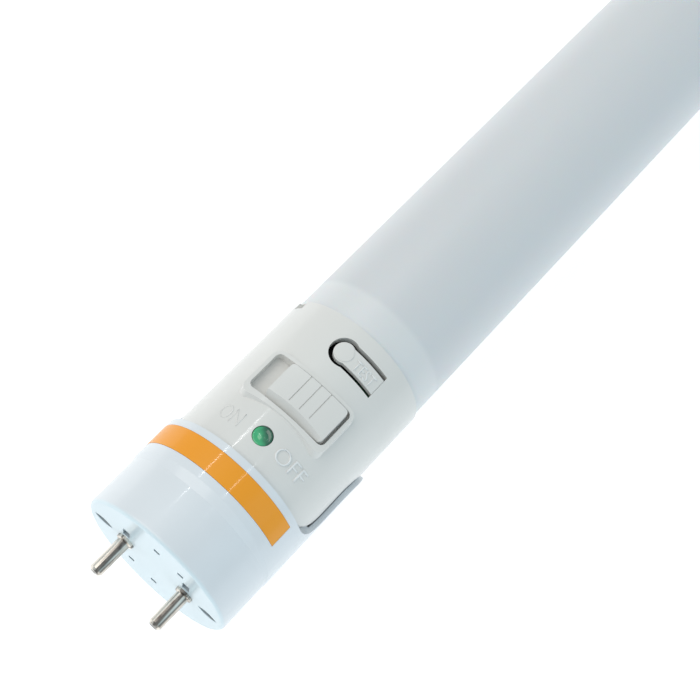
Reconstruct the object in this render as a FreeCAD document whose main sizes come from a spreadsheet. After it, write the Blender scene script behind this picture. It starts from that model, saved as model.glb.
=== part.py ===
"""Battery-backed LED tube with two-pin caps, a slide switch and a test button.

Frame: +X runs along the lamp from the switch end's cap face to the far cap face,
+Z is the side with the switch, and the origin is the centre of that cap face.
"""
import FreeCAD, Part
import math
import os
import re

import Sketcher
from FreeCAD import Placement, Rotation, Vector

# ---------------------------------------------------------------- driving sizes
SIZES = [
    ("lamp_length", 589.8, "cap face to cap face"),
    ("tube_diameter", 27.0, "diffuser tube"),
    ("tube_wall", 1.0, "diffuser tube"),
    ("housing_step", 0.35, "how far the housing stands out of the tube"),
    ("housing_wall", 1.55, "housing's wide part"),
    ("housing_end", 48.5, "joint between housing and tube"),
    ("neck_start", 3.2, "free end of the neck inside the cap"),
    ("neck_step", 0.73, "how far the neck is below the housing's surface"),
    ("neck_wall", 1.82, "wall of the neck and the spigot"),
    ("spigot_length", 5.4, "part of the housing inside the tube"),
    ("spigot_play", 0.08, "radial gap between spigot and tube"),
    ("cap_rise", 0.65, "how far the turning caps stand out of the housing"),
    ("cap_face_wall", 2.0, "thickness of the wall that holds the pins"),
    ("cap_edge", 0.7, "rounding round the cap's face"),
    ("turn_clearance", 0.08, "radial play between a cap and the neck in it"),
    ("stop_clearance", 0.5, "angle left before a cap meets its stop"),
    ("turn_back", 4.0, "turn of a cap towards its near stop"),
    ("turn_ahead", 10.0, "turn of a cap towards its far stop"),
    ("wide_spare", 4.0, "angle left open past the far stop"),
    ("pin_spacing", 12.7, "between the pins' centres"),
    ("pin_diameter", 2.35, "contact pin"),
    ("pin_length", 7.1, "pin outside the cap's face"),
    ("pin_tail", 5.2, "pin inside, from the face wall"),
    ("pin_flange", 3.8, "diameter of the flange inside"),
    ("pin_collar", 3.2, "diameter of the swaged collar outside"),
    ("collar_seat", 0.1, "depth of the collar's seat in the face"),
    ("collar_play", 0.05, "gap round the collar in its seat"),
    ("clamp_wall", 1.5, "thickness of the plate behind the pins"),
    ("clamp_margin", 3.45, "plate beyond the pins' centres"),
    ("clamp_half_height", 4.0, "half of the plate's height"),
    ("clamp_screw_z", 2.4, "plate's screws from the middle"),
    ("face_slot_place", 11.2, "middle of the slots in the face"),
    ("face_slot_length", 4.0, "slots in the face"),
    ("face_slot_width", 1.9, "slots in the face"),
    ("pin_recess_start", 2.4, "recess beside each pin"),
    ("pin_recess_end", 5.2, "recess beside each pin"),
    ("pin_recess_width", 1.4, "recess beside each pin"),
    ("pin_recess_depth", 0.5, "recess beside each pin"),
    ("notch_z", 8.5, "notches on the middle line"),
    ("side_notch_y", 5.0, "notches beside the middle line"),
    ("side_notch_z", 7.4, "notches beside the middle line"),
    ("notch_length", 1.2, "notches in the face"),
    ("notch_width", 1.0, "notches in the face"),
    ("notch_depth", 1.2, "notches in the face"),
    ("sleeve_rise", 0.15, "sleeve's radius beyond the cap's"),
    ("sleeve_lift", 0.4, "how far the raised sleeve's centre is above the axis"),
    ("bevel_start", 9.6, "where the sleeve starts to rise"),
    ("bevel_slope", 0.314, "rise of the bevel for each millimetre"),
    ("band_start", 12.9, "start of the coloured band"),
    ("band_width", 4.2, "coloured band"),
    ("band_depth", 0.5, "depth of the band's seat"),
    ("band_play", 0.05, "gap round the band"),
    ("band_half_angle", 72.0, "half of the band's span"),
    ("band_turn", 15.0, "middle of the band, from the top"),
    ("sleeve_end", 18.5, "sleeve's edge above the tongue"),
    ("lobe_end", 36.2, "sleeve's edge below the housing"),
    ("lobe_corner", 7.5, "rounding of the lobe's corner"),
    ("lobe_edge_wall", 0.7, "lobe's wall along its edge"),
    ("rebate_depth", 2.0, "rebate inside that edge"),
    ("wide_corner", 5.0, "rounding of the opening's corner on the wide side"),
    ("tongue_gap", 0.35, "gap round the tongue's end"),
    ("tongue_half_angle", 82.5, "half of the tongue's span"),
    ("tongue_corner", 5.5, "rounding of the tongue's corners"),
    ("groove_reach", 1.0, "side groove under the lobe's edge"),
    ("groove_depth", 1.1, "side groove below the neck's surface"),
    ("ring_start", 6.0, "groove of the retaining ring"),
    ("ring_width", 1.2, "width of that groove"),
    ("ring_depth", 0.6, "depth of that groove in the neck"),
    ("ring_reach", 0.5, "how far the ring stands out of the neck"),
    ("ring_play", 0.1, "gap round the ring"),
    ("far_cap_length", 14.0, "far cap"),
    ("far_collar_end", 22.0, "joint between the far collar and the tube"),
    ("key_half_angle", 12.0, "half of the far collar's key"),
    ("key_length", 2.5, "reach of the key into the far cap's rim"),
    ("switch_middle", 32.6, "middle of the slide switch"),
    ("frame_rise", 0.25, "frame's top above the housing"),
    ("frame_wall", 0.65, "frame round the knob's recess"),
    ("frame_crown", 25.0, "radius of the frame's crowned top"),
    ("frame_corner", 1.6, "rounding of the frame's corners"),
    ("frame_draft", 0.55, "slope of the frame's side towards the pins"),
    ("recess_depth", 3.1, "recess's floor below the frame's top"),
    ("recess_corner", 1.0, "rounding of the recess's corners"),
    ("recess_floor_wall", 1.2, "thickness of that floor"),
    ("knob_width", 7.0, "knob along the lamp"),
    ("knob_length", 11.9, "knob across the lamp"),
    ("knob_rise", 0.65, "knob's top above the frame"),
    ("knob_corner", 0.7, "rounding of the knob's corners"),
    ("knob_lift", 0.2, "gap under the knob"),
    ("knob_bevel", 1.1, "bevel along the knob's front edge"),
    ("bevel_drop", 1.9, "height of that bevel"),
    ("knob_side_gap", 0.3, "gap beside the knob"),
    ("knob_end_gap", 0.55, "gap left at the end of its travel"),
    ("knob_travel", 2.6, "travel of the knob"),
    ("groove_width", 0.2, "finger grooves on the knob"),
    ("groove_sink", 0.2, "depth of the finger grooves"),
    ("groove_pitch", 2.15, "between finger grooves"),
    ("groove_first", 3.8, "first finger groove from the knob's end"),
    ("actuator_side", 2.0, "side of the switch's own actuator"),
    ("actuator_reach", 1.6, "actuator above the recess's floor"),
    ("actuator_play", 0.03, "gap between actuator and knob"),
    ("slide_gap", 0.4, "between the recess's floor and the switch's body"),
    ("slide_height", 3.4, "slide switch's body"),
    ("slide_half_width", 2.6, "half of that body along the lamp"),
    ("slide_margin", 3.6, "that body beyond its actuator's travel"),
    ("led_place", 23.6, "status light"),
    ("led_diameter", 3.3, "status light's dome"),
    ("led_play", 0.1, "gap round the dome"),
    ("led_sink", 0.15, "dome's top below the housing's surface"),
    ("led_flange", 0.4, "flange beyond the dome"),
    ("led_body_height", 3.9, "flange and dome above the spacer"),
    ("led_leg_y", 1.27, "legs from the middle"),
    ("test_place", 43.3, "test button"),
    ("test_disc", 3.7, "button's disc"),
    ("test_arm", 3.2, "width of the arm"),
    ("test_slot", 0.8, "slot round the arm"),
    ("test_root", 7.55, "arm's root from the middle"),
    ("test_root_gap", 0.05, "gap at the arm's root"),
    ("test_wall", 1.0, "thickness of the arm"),
    ("peg_gap", 0.1, "between the arm's peg and the plunger"),
    ("board_wall", 1.2, "thickness of the control board"),
    ("board_play", 0.37, "beside the control board"),
    ("board_start", 16.0, "control board"),
    ("board_end", 47.0, "control board"),
    ("board_hole_margin", 2.2, "board screws from its side"),
    ("board_hole_x", 19.5, "board screws along the lamp"),
    ("tact_side", 6.0, "push switch's body"),
    ("tact_height", 3.4, "push switch's body"),
    ("plunger_diameter", 3.4, "push switch's plunger"),
    ("plunger_reach", 2.2, "plunger above the switch's body"),
    ("rail_wall", 1.6, "thickness of the rail"),
    ("rail_play", 0.27, "beside the rail in the spigots"),
    ("rail_edge", 2.3, "rail beside the light board"),
    ("rail_lip", 1.0, "lips beside the light board"),
    ("rail_start", 50.0, "rail from the cap's face"),
    ("ledge_wall", 1.5, "ledge under the rail's end"),
    ("rail_screw_x", 52.0, "screw through the rail's end"),
    ("strip_wall", 1.0, "light board"),
    ("strip_start", 56.0, "light board"),
    ("strip_gap", 2.0, "between the light board and the far spigot"),
    ("package_pitch", 11.6, "between light packages"),
    ("cell_diameter", 14.0, "battery cell"),
    ("cell_length", 50.0, "battery cell"),
    ("cell_count", 3, "battery cells in the pack"),
    ("cell_gap", 1.0, "between cells"),
    ("cell_clearance", 0.25, "between the pack and the tube"),
    ("pack_start", 72.0, "first cell"),
    ("wrap_wall", 0.2, "shrink wrap of the pack"),
    ("wrap_play", 0.05, "gap between cell and wrap"),
    ("wrap_end", 0.8, "wrap beyond the cells"),
    ("tape_wall", 0.15, "tape between the pack and the rail"),
    ("driver_start", 262.0, "driver board"),
    ("driver_length", 130.0, "driver board"),
    ("driver_width", 15.0, "driver board"),
    ("driver_drop", 3.8, "driver board below the rail"),
    ("driver_wall", 1.6, "thickness of the driver board"),
    ("driver_hole_x", 5.0, "driver's screws from its ends"),
    ("driver_hole_y", 4.5, "driver's screws from the middle"),
    ("core_half_width", 5.5, "half of the transformer's core"),
    ("core_clearance", 1.0, "between the core and the tube"),
    ("can_clearance", 1.7, "between a capacitor and the tube"),
    ("wire_diameter", 1.4, "insulated leads"),
    ("screw_diameter", 2.0, "small screws"),
    ("screw_play", 0.1, "radial gap round a screw's shank"),
    ("screw_head", 3.4, "their heads"),
    ("screw_head_height", 1.1, "their heads"),
    ("screw_slot", 0.5, "slots in their heads"),
]

# sizes that follow from the driving ones
DERIVED = {
    "tube_r": "tube_diameter / 2",
    "tube_in": "tube_r - tube_wall",
    "housing_r": "tube_r + housing_step",
    "housing_in": "housing_r - housing_wall",
    "neck_r": "housing_r - neck_step",
    "neck_in": "neck_r - neck_wall",
    "bore_r": "neck_r + turn_clearance",
    "cap_r": "housing_r + cap_rise",
    "sleeve_r": "cap_r + sleeve_rise",
    "spigot_r": "tube_in - spigot_play",
    "spigot_end": "housing_end + spigot_length",
    "far_spigot_end": "far_collar_end + spigot_length",
    "tongue_start": "sleeve_end + tongue_gap",
    "body_start": "lobe_end + tongue_gap",
    "tongue_edge": "housing_r * cos(tongue_half_angle)",
    "corner_round": "lobe_corner + tongue_gap",
    "lobe_edge": "bore_r * cos(tongue_half_angle + turn_back + stop_clearance)",
    "wide_edge": "bore_r * cos(tongue_half_angle + turn_ahead + stop_clearance + wide_spare)",
    "slot_round": "(face_slot_length ^ 2 + face_slot_width ^ 2) / (4 * face_slot_width)",
    "clamp_back": "cap_face_wall + clamp_wall",
    "clamp_half_width": "pin_spacing / 2 + clamp_margin",
    "recess_width": "knob_width + 2 * knob_side_gap",
    "recess_length": "knob_length + knob_travel + 2 * knob_end_gap",
    "frame_width": "recess_width + 2 * frame_wall",
    "frame_length": "recess_length + 2 * frame_wall",
    "frame_top": "housing_r + frame_rise",
    "knob_top": "frame_top + knob_rise",
    "recess_floor": "frame_top - recess_depth",
    "knob_rest": "-knob_travel / 2",
    "knob_floor": "recess_floor + knob_lift",
    "actuator_top": "recess_floor + actuator_reach",
    "slide_body_top": "recess_floor - recess_floor_wall - slide_gap",
    "board_top": "slide_body_top - slide_height",
    "board_half_width": "sqrt(neck_in ^ 2 - board_top ^ 2) - board_play",
    "board_hole_y": "board_half_width - board_hole_margin",
    "tact_top": "board_top + tact_height",
    "plunger_top": "tact_top + plunger_reach",
    "led_hole": "led_diameter + 2 * led_play",
    "led_top": "housing_r - led_sink",
    "led_seat": "led_top - led_body_height",
    "wrap_r": "cell_diameter / 2 + wrap_play + wrap_wall",
    "cell_height": "wrap_r + cell_clearance - tube_in",
    "rail_bottom": "cell_height + wrap_r + tape_wall",
    "rail_top": "rail_bottom + rail_wall",
    "rail_half_width": "sqrt(neck_in ^ 2 - rail_top ^ 2) - rail_play",
    "strip_half_width": "rail_half_width - rail_edge",
    "strip_end": "lamp_length - far_spigot_end - strip_gap",
    "pack_length": "cell_count * (cell_length + cell_gap) - cell_gap",
    "pack_end": "pack_start + pack_length",
    "driver_top": "rail_bottom - driver_drop",
    "driver_bottom": "driver_top - driver_wall",
    "driver_end": "driver_start + driver_length",
    "core_height": "sqrt(tube_in ^ 2 - core_half_width ^ 2) - core_clearance + driver_bottom",
    "can_r": "(tube_in + driver_bottom - can_clearance) / 2",
}

doc = FreeCAD.newDocument("led_tube")
sheet = doc.addObject("Spreadsheet::Sheet", "Sizes")
for row, (alias, size, note) in enumerate(SIZES, start=1):
    sheet.set("A%d" % row, alias)
    sheet.set("B%d" % row, str(size))
    sheet.set("C%d" % row, note)
    sheet.setAlias("B%d" % row, alias)
doc.recompute()
ALIASES = {alias for alias, size, note in SIZES}
WORD = re.compile(r"[a-z_]+")


def linked(text):
    """An expression on the sheet's cells, from one on sizes and derived sizes."""
    def swap(match):
        word = match.group(0)
        if word in DERIVED:
            return "(" + linked(DERIVED[word]) + ")"
        return "Sizes." + word if word in ALIASES else word
    return WORD.sub(swap, str(text))


def number(text):
    """The value of such an expression now."""
    return float(sheet.evalExpression(linked(text)))


# ---------------------------------------------------------------- helpers
TURNS = {
    "Z": Rotation(),
    "X": Rotation(Vector(0, 1, 0), 90),
    "Y": Rotation(Vector(1, 0, 0), -90),
}
counter = [0]
PARTS = {}


def fresh(kind, stem):
    counter[0] += 1
    return doc.addObject(kind, "%s_%03d" % (stem, counter[0]))


def place(thing, x, y, z, along="Z"):
    thing.Placement = Placement(Vector(), TURNS[along])
    for axis, text in zip("xyz", (x, y, z)):
        thing.setExpression("Placement.Base." + axis, linked(text))
    return thing


def box(x, y, z):
    """A box between pairs of expressions."""
    thing = fresh("Part::Box", "Box")
    for side, (low, high) in zip(("Length", "Width", "Height"), (x, y, z)):
        thing.setExpression(side, linked("(%s) - (%s)" % (high, low)))
    return place(thing, x[0], y[0], z[0])


def rod(radius, span, y="0", z="0", along="X", other="0"):
    """A cylinder along an axis; span is its start and end on that axis."""
    thing = fresh("Part::Cylinder", "Rod")
    thing.setExpression("Radius", linked(radius))
    thing.setExpression("Height", linked("(%s) - (%s)" % (span[1], span[0])))
    spots = {"X": (span[0], y, z), "Z": (other, y, span[0]), "Y": (other, span[0], z)}
    return place(thing, *spots[along], along=along)


def post(radius, x, y, z):
    """An upright cylinder; z is its low and high end."""
    return rod(radius, z, y=y, along="Z", other=x)


def fuse(*things):
    whole = fresh("Part::MultiFuse", "Fuse")
    whole.Shapes = list(things)
    return whole


def cut(base, *tools):
    rest = fresh("Part::Cut", "Cut")
    rest.Base = base
    rest.Tool = tools[0] if len(tools) == 1 else fuse(*tools)
    return rest


def common(*things):
    shared = fresh("Part::MultiCommon", "Common")
    shared.Shapes = list(things)
    return shared


def group(things):
    bundle = fresh("Part::Compound", "Group")
    bundle.Links = list(things)
    return bundle


def rounded(base, radius, chosen):
    """Fillets on the edges that the test chooses."""
    doc.recompute()
    edges = [i + 1 for i, edge in enumerate(base.Shape.Edges) if chosen(edge)]
    fillet = fresh("Part::Fillet", "Fillet")
    fillet.Base = base
    fillet.Edges = [(i, number(radius), number(radius)) for i in edges]
    return fillet


def lies(axis):
    """A test for straight edges along an axis."""
    def test(edge):
        ends = [v.Point for v in edge.Vertexes]
        if len(ends) != 2:
            return False
        run = ends[1].sub(ends[0])
        return abs(getattr(run, axis)) > 0.999 * run.Length
    return test


def outline(body, role, points):
    """A closed sketch of straight lines, each corner held by two sizes."""
    sketch = body.newObject("Sketcher::SketchObject", body.Name + "_Outline")
    plane = next(f for f in body.Origin.OriginFeatures if f.Role == role)
    sketch.AttachmentSupport = [(plane, "")]
    sketch.MapMode = "FlatFace"
    spots = [Vector(number(a), number(b)) for a, b in points]
    last = len(spots) - 1
    for i, spot in enumerate(spots):
        sketch.addGeometry(Part.LineSegment(spot, spots[0 if i == last else i + 1]), False)
    for i in range(len(spots)):
        sketch.addConstraint(Sketcher.Constraint("Coincident", i, 2, 0 if i == last else i + 1, 1))
    for i, pair in enumerate(points):
        for way, text, line in zip(("DistanceX", "DistanceY"), pair, (-2, -1)):
            size = number(text)
            if abs(size) < 1e-9:
                sketch.addConstraint(Sketcher.Constraint("PointOnObject", i, 1, line))
                continue
            index = sketch.addConstraint(Sketcher.Constraint(way, -1, 1, i, 1, size))
            sketch.setExpression("Constraints[%d]" % index, linked(text))
    return sketch


def turned(points):
    """A body of revolution about the lamp's axis; points are (along, radius)."""
    body = fresh("PartDesign::Body", "Turned")
    sketch = outline(body, "XZ_Plane", points)
    turn = body.newObject("PartDesign::Revolution", body.Name + "_Turn")
    turn.Profile = (sketch, [""])
    turn.ReferenceAxis = (sketch, ["H_Axis"])
    turn.Angle = 360
    doc.recompute()
    return body


def extruded(points, start, end):
    """A bar along the lamp; points are (across, up)."""
    body = fresh("PartDesign::Body", "Bar")
    sketch = outline(body, "YZ_Plane", points)
    sketch.setExpression("AttachmentOffset.Base.z", linked(start))
    pad = body.newObject("PartDesign::Pad", body.Name + "_Pad")
    pad.Profile = (sketch, [""])
    pad.setExpression("Length", linked("(%s) - (%s)" % (end, start)))
    doc.recompute()
    return body


def wedge(radius, span, middle, half, y="0", z="0"):
    """A slice of a cylinder along X; middle is its angle from the top towards +Y."""
    thing = rod(radius, span, y=y, z=z)
    thing.setExpression("Angle", linked("2 * (%s)" % half))
    turn = Rotation(Vector(1, 0, 0), 180 - number(middle) - number(half))
    thing.Placement = Placement(thing.Placement.Base, turn.multiply(TURNS["X"]))
    return thing


def lead(points, radius):
    """One insulated wire: straight runs joined by arcs that touch them."""
    spots = [Vector(*[number(v) for v in p]) for p in points]
    edges = []
    here = spots[0]
    for before, corner, after in zip(spots, spots[1:], spots[2:]):
        back = before.sub(corner)
        ahead = after.sub(corner)
        reach = 0.45 * min(back.Length, ahead.Length)
        start = corner.add(Vector(back).normalize().multiply(reach))
        end = corner.add(Vector(ahead).normalize().multiply(reach))
        half = back.getAngle(ahead) / 2
        inward = Vector(back).normalize().add(Vector(ahead).normalize()).normalize()
        bend = reach * math.tan(half)
        middle = corner.add(inward.multiply(reach / math.cos(half) - bend))
        edges.append(Part.LineSegment(here, start).toShape())
        edges.append(Part.Arc(start, middle, end).toShape())
        here = end
    edges.append(Part.LineSegment(here, spots[-1]).toShape())
    spine = Part.Wire(edges)
    first = edges[0]
    face = Part.makeCircle(number(radius), spots[0], first.tangentAt(first.FirstParameter))
    pipe = spine.makePipeShell([Part.Wire([face])], True, False)
    thing = fresh("Part::Feature", "Lead")
    thing.Shape = pipe
    return thing


def node(label, thing):
    """Name a finished sub-part; the label is its file's name."""
    thing.Label = label
    PARTS[label] = thing
    return thing


def from_end(end, text):
    """A place measured from the near or the far cap's face."""
    return text if end == "near" else "lamp_length - (%s)" % text


def span_from(end, low, high):
    pair = (from_end(end, low), from_end(end, high))
    return pair if end == "near" else pair[::-1]


# ---------------------------------------------------------------- both ends
def contact_pin(end, side):
    """A turned pin: chamfered tip, collar on the face, flange and tail inside."""
    outside = [
        ("-pin_length", "0"),
        ("-pin_length", "pin_diameter / 2 - 0.35"),
        ("0.45 - pin_length", "pin_diameter / 2"),
        ("-0.6", "pin_diameter / 2"),
        ("-0.4", "pin_collar / 2"),
        ("collar_seat", "pin_collar / 2"),
        ("collar_seat", "pin_diameter / 2"),
        ("cap_face_wall", "pin_diameter / 2"),
        ("cap_face_wall", "pin_flange / 2"),
        ("cap_face_wall + 0.6", "pin_flange / 2"),
        ("cap_face_wall + 0.6", "pin_diameter / 2 - 0.2"),
        ("cap_face_wall + pin_tail", "pin_diameter / 2 - 0.2"),
        ("cap_face_wall + pin_tail", "0"),
    ]
    body = turned([(from_end(end, x), r) for x, r in outside])
    body.setExpression("Placement.Base.y", linked("%s * pin_spacing / 2" % side))
    return body


def pin_clamp(end):
    """The plate that holds both pins' flanges against the cap's face wall."""
    plate = box(span_from(end, "cap_face_wall", "clamp_back"), ("-clamp_half_width", "clamp_half_width"),
                ("-clamp_half_height", "clamp_half_height"))
    holes = []
    for side in ("-1", "1"):
        y = "%s * pin_spacing / 2" % side
        holes.append(rod("pin_flange / 2 + 0.05",
                         span_from(end, "cap_face_wall", "cap_face_wall + 0.65"), y=y))
        holes.append(rod("pin_diameter / 2", span_from(end, "cap_face_wall", "clamp_back"), y=y))
        holes.append(rod("screw_diameter / 2 + screw_play", span_from(end, "cap_face_wall", "clamp_back"),
                         z="%s * clamp_screw_z" % side))
    edge = number("clamp_half_width") - 0.1
    return rounded(cut(plate, *holes), "1.2", lambda e: lies("x")(e) and abs(e.CenterOfMass.y) > edge)


def clamp_screws(end):
    screws = []
    for side in ("-1", "1"):
        z = "%s * clamp_screw_z" % side
        top = "clamp_back + screw_head_height"
        shank = rod("screw_diameter / 2", span_from(end, "0.6", "clamp_back + 0.2"), z=z)
        head = rod("screw_head / 2", span_from(end, "clamp_back", top), z=z)
        slot = box(span_from(end, "%s - screw_slot" % top, "%s + 1" % top),
                   ("-screw_head", "screw_head"), ("%s - screw_slot / 2" % z, "%s + screw_slot / 2" % z))
        screws.append(cut(fuse(shank, head), slot))
    return group(screws)


def retaining_ring(end):
    """An open ring in the neck's groove, which holds the cap along the lamp."""
    span = span_from(end, "ring_start + 0.05", "ring_start + ring_width - 0.05")
    ring = cut(rod("neck_r + ring_reach", span), rod("neck_r - ring_depth + 0.03", span))
    return cut(ring, box(span, ("-1.5", "1.5"), ("-bore_r - 2", "0")))


def cap_hollows(end):
    """What both caps have cut out of them, apart from their bore's length."""
    tools = [rod("neck_r + ring_reach + ring_play",
                 span_from(end, "ring_start - ring_play", "ring_start + ring_width + ring_play"))]
    through = span_from(end, "-1", "cap_face_wall + 1")
    notch = span_from(end, "-1", "notch_depth")
    for side in ("-1", "1"):
        y = "%s * pin_spacing / 2" % side
        tools.append(rod("pin_diameter / 2", through, y=y))
        tools.append(rod("pin_collar / 2 + collar_play", span_from(end, "-1", "collar_seat"), y=y))
        tools.append(rod("screw_diameter / 2", span_from(end, "0.6", "cap_face_wall + 1"),
                         z="%s * clamp_screw_z" % side))
        tools.append(common(*[rod("slot_round", through, y="%s * face_slot_place" % side,
                                  z="%s * (slot_round - face_slot_width / 2)" % way) for way in ("-1", "1")]))
        tools.append(box(span_from(end, "-1", "pin_recess_depth"),
                         ("%s - pin_recess_width / 2" % y, "%s + pin_recess_width / 2" % y),
                         ("pin_recess_start", "pin_recess_end")))
        for y, z in (("0", "notch_z"), ("-side_notch_y", "side_notch_z")):
            middle = ("%s * (%s)" % (side, y), "%s * %s" % (side, z))
            tools.append(box(notch, ["%s %s notch_length / 2" % (middle[0], way) for way in "-+"],
                             ["%s %s notch_width / 2" % (middle[1], way) for way in "-+"]))
    return tools


def cap_blank(end, length):
    """A closed round cup without its hollows; its face's edge is rounded."""
    face = number(from_end(end, "0"))
    return rounded(rod("cap_r", span_from(end, "0", length)), "cap_edge",
                   lambda e: len(e.Vertexes) == 1 and abs(e.CenterOfMass.x - face) < 1e-6)


# ---------------------------------------------------------------- switch end
def band_shape(grow, low, high):
    """The coloured band, or with grow its seat, on the sleeve's own centre."""
    span = ("band_start - (%s)" % grow, "band_start + band_width + (%s)" % grow)
    outer = wedge(high, span, "band_turn", "band_half_angle + 0.4 * (%s) / band_play" % grow, z="sleeve_lift")
    return cut(outer, rod(low, span, z="sleeve_lift"))


def near_end_cap():
    """The turning cap with its raised sleeve, which is open above the tongue."""
    raised = common(rod("sleeve_r", ("bevel_start", "lobe_end"), z="sleeve_lift"), bevel_cone())
    blank = fuse(cap_blank("near", "lobe_end"), raised)
    bore = rod("bore_r", ("cap_face_wall", "lobe_end + 1"))
    narrow = box(("sleeve_end", "lobe_end + 9"), ("-20", "0"), ("lobe_edge", "20"))
    wide = box(("sleeve_end", "lobe_end + 9"), ("-0.5", "20"), ("wide_edge", "20"))
    corner = lambda e: lies("y")(e) and e.CenterOfMass.x < number("sleeve_end + 1") and e.CenterOfMass.z < 10
    opening = [rounded(narrow, "tongue_corner + tongue_gap", corner),
               rounded(wide, "wide_corner", corner)]
    whole = cut(blank, bore, *(cap_hollows("near") + opening))
    return cut(whole, band_shape("band_play", "sleeve_r - band_depth", "sleeve_r + 2"), lobe_rebate(),
               *lobe_corners())


def bevel_cone():
    """The slope that the raised sleeve grows along."""
    cone = fresh("Part::Cone", "Cone")
    cone.setExpression("Radius1", linked("cap_r"))
    cone.setExpression("Radius2", linked("cap_r + bevel_slope * (lobe_end - bevel_start)"))
    cone.setExpression("Height", linked("lobe_end - bevel_start"))
    return place(cone, "bevel_start", "0", "0", along="X")


def lobe_rebate():
    """The rebate inside the lobe's edge beside the tongue."""
    reach = ("sleeve_end", "lobe_end + 1")
    ring = cut(rod("cap_r - lobe_edge_wall", reach), rod("bore_r - 0.1", ("sleeve_end - 1", "lobe_end + 2")))
    return common(ring, box(reach, ("-tube_diameter", "0"), ("lobe_edge - rebate_depth", "lobe_edge + 1")))


def lobe_corners():
    """The pieces outside the rounded corners at the lobe's open end."""
    blocks = []
    for edge, y in (("lobe_edge", ("-20", "0")), ("wide_edge", ("0", "20"))):
        centre = "%s - lobe_corner" % edge
        square = box(("lobe_end - lobe_corner", "lobe_end + 1"), y, (centre, "%s + 1" % edge))
        round_off = rod("lobe_corner", y, z=centre, along="Y", other="lobe_end - lobe_corner")
        blocks.append(cut(square, round_off))
    return blocks


def control_housing():
    """The fixed housing: neck, tongue, wide body and the spigot in the tube."""
    shell = turned([
        ("neck_start", "neck_in"), ("neck_start", "neck_r"),
        ("ring_start", "neck_r"), ("ring_start", "neck_r - ring_depth"),
        ("ring_start + ring_width", "neck_r - ring_depth"), ("ring_start + ring_width", "neck_r"),
        ("body_start", "neck_r"), ("body_start", "housing_r"),
        ("housing_end", "housing_r"), ("housing_end", "spigot_r"),
        ("spigot_end", "spigot_r"), ("spigot_end", "neck_in"),
        ("housing_end - 1.5", "neck_in"), ("housing_end - 1.5", "housing_in"),
        ("body_start + 1.5", "housing_in"), ("body_start + 1.5", "neck_in"),
    ])
    side_view = rounded(box(("tongue_start", "body_start + 0.5"), ("-20", "20"), ("tongue_edge", "20")),
                        "tongue_corner",
                        lambda e: lies("y")(e) and e.CenterOfMass.x < number("tongue_start + 1")
                        and e.CenterOfMass.z < 10)
    skin = cut(rod("housing_r", ("tongue_start", "body_start + 0.5")),
               rod("neck_r - 0.2", ("tongue_start - 1", "body_start + 1")))
    corner = cut(box(("body_start - corner_round", "body_start + 0.5"), ("-20", "20"),
                     ("tongue_edge - corner_round", "tongue_edge + 0.5")),
                 rod("corner_round", ("-21", "21"), z="tongue_edge - corner_round", along="Y",
                     other="body_start - corner_round"))
    tongue = common(fuse(side_view, corner), skin)
    inside = rod("housing_in + 0.4", ("body_start - 18", "housing_end - 0.5"))
    floor = common(box(("switch_middle - frame_width / 2 - 1", "switch_middle + frame_width / 2 + 1"),
                       ("-tube_r", "tube_r"),
                       ("recess_floor - recess_floor_wall", "recess_floor + 0.6")), inside)
    seat_y = "board_hole_y - 1.4"
    seats = [common(box(("board_start + 1", "board_end - 2"), y,
                        ("board_top - board_wall - 1", "board_top - board_wall")),
                    rod("neck_in + 0.5", ("board_start", "board_end")))
             for y in (("-tube_r", "-(%s)" % seat_y), (seat_y, "tube_r"))]
    ledge = common(box(("housing_end - 1", "spigot_end"), ("-tube_r", "tube_r"),
                       ("rail_bottom - ledge_wall", "rail_bottom")),
                   rod("neck_in + 0.5", ("housing_end - 1", "spigot_end")))
    whole = fuse(shell, tongue, floor, raised_frame(), ledge, *seats)
    tools = [knob_recess(), stem_slot(), test_window("test_slot", "0"), side_groove(),
             post("led_hole / 2", "led_place", "0", ("8", "20")), latch_window(),
             post("screw_diameter / 2", "rail_screw_x", "0", ("rail_bottom - 1.2", "rail_bottom + 1"))]
    for side in ("-1", "1"):
        tools.append(post("screw_diameter / 2", "board_hole_x", "%s * (board_hole_y)" % side,
                          ("board_top - board_wall - 3", "board_top")))
    return cut(whole, *tools)


def raised_frame():
    """The switch's crowned frame; its side towards the pins slopes out to the housing."""
    left = "switch_middle - frame_width / 2"
    right = "switch_middle + frame_width / 2"
    low = "recess_floor - 1"
    high = "frame_top + 1"
    bar = extruded_across([("%s - frame_draft * (frame_top - (%s))" % (left, low), low), (right, low),
                           (right, high), ("%s + frame_draft" % left, high)], "frame_length")
    block = rounded(bar, "frame_corner", lambda e: not lies("x")(e) and not lies("y")(e))
    crown = rod("frame_crown", ("switch_middle - frame_width", "switch_middle + frame_width"),
                z="frame_top - frame_crown")
    return common(block, crown)


def knob_recess():
    return rounded(box(("switch_middle - recess_width / 2", "switch_middle + recess_width / 2"),
                       ("-recess_length / 2", "recess_length / 2"), ("recess_floor", "frame_top + 4")),
                   "recess_corner", lies("z"))


def side_groove():
    """The deep groove beside the tongue on the narrow side, which runs in under the sleeve's edge."""
    span = ("tongue_start + tongue_corner", "lobe_end - lobe_corner")
    return cut(box(span, ("-tube_diameter", "0"), ("lobe_edge - groove_reach", "tongue_edge")),
               rod("neck_r - groove_depth", ("tongue_start", "lobe_end")))


def stem_slot():
    return box(("switch_middle - actuator_side / 2 - 0.3", "switch_middle + actuator_side / 2 + 0.3"),
               ("knob_rest - actuator_side / 2 - 0.4", "knob_rest + knob_travel + actuator_side / 2 + 0.4"),
               ("recess_floor - 3", "recess_floor + 1"))


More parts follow.
